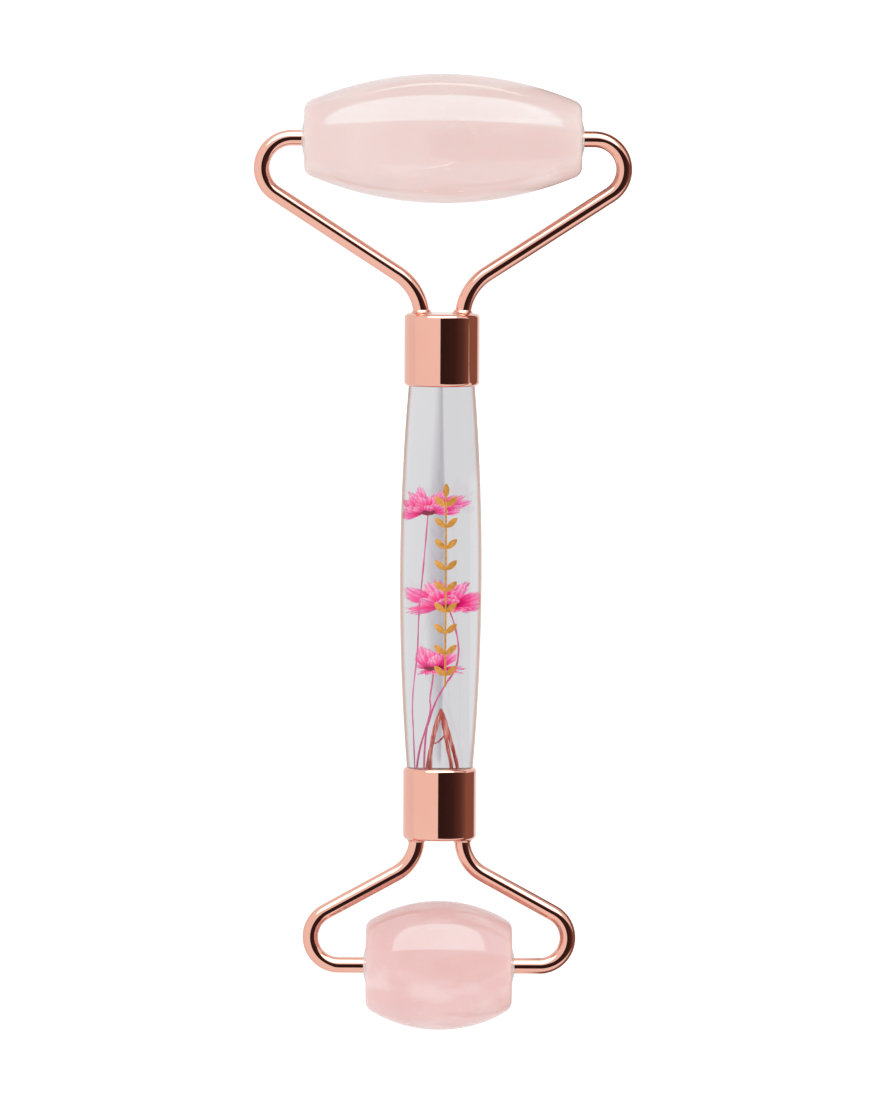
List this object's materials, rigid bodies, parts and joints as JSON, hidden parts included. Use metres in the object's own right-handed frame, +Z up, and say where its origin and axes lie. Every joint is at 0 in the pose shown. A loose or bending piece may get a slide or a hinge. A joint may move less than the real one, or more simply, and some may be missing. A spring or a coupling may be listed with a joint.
{
  "type": "double-ended face roller",
  "caption": "Hand-held massage roller with a crowned stone on a bent-wire yoke at each end of a clear bar that has dried flowers cast in it.",
  "frame": {"origin": "bottom centre of the bounding box, on the surface that both stones rest on", "axes": "+X along the stones' axes, +Y along the handle towards the large stone, +Z up from the surface the roller lies on"},
  "size_m": [0.0572, 0.145, 0.0196],
  "materials": {
    "clear_resin": "polished clear cast resin",
    "cured_resin": "cured adhesive, hidden",
    "rose_gold_ferrule": "polished rose-gold plating",
    "rose_gold_wire": "polished rose-gold plating",
    "rose_gold_braze": "satin rose-gold plating over a braze bead",
    "rose_quartz": "polished, softly translucent, cloudy veins",
    "bush_plastic": "translucent moulded plastic",
    "dried_petal": "thin dried petal",
    "dried_calyx": "dried calyx",
    "dried_stem": "dried stem",
    "dried_stalk": "dried brown stalk",
    "gold_leaf_print": "hot-stamped gold foil"
  },
  "bodies": {
    "frame": {"handle_bar": "clear_resin", "gold_print": "gold_leaf_print", "upper_ferrule": "rose_gold_ferrule", "lower_ferrule": "rose_gold_ferrule", "upper_yoke": "rose_gold_wire", "lower_yoke": "rose_gold_wire", "upper_potting": "cured_resin", "lower_potting": "cured_resin", "upper_leg_collars": "rose_gold_braze", "lower_leg_collars": "rose_gold_braze", "top_petals": "dried_petal", "top_calyx": "dried_calyx", "top_stem": "dried_stem", "middle_petals": "dried_petal", "middle_calyx": "dried_calyx", "middle_stem": "dried_stem", "low_petals": "dried_petal", "low_calyx": "dried_calyx", "low_stem": "dried_stem", "folded_stalk": "dried_stalk"},
    "large_roller": {"large_stone": "rose_quartz", "large_bush_left": "bush_plastic", "large_bush_right": "bush_plastic"},
    "small_roller": {"small_stone": "rose_quartz", "small_bush_left": "bush_plastic", "small_bush_right": "bush_plastic"}
  },
  "joints": [
    {"name": "large_roller_spin", "type": "hinge", "parent": "frame", "child": "large_roller", "pos_m": [0, 0.0627, 0.0098], "axis": [1, 0, 0], "continuous": true},
    {"name": "small_roller_spin", "type": "hinge", "parent": "frame", "child": "small_roller", "pos_m": [0, -0.0627, 0.0098], "axis": [1, 0, 0], "continuous": true}
  ]
}
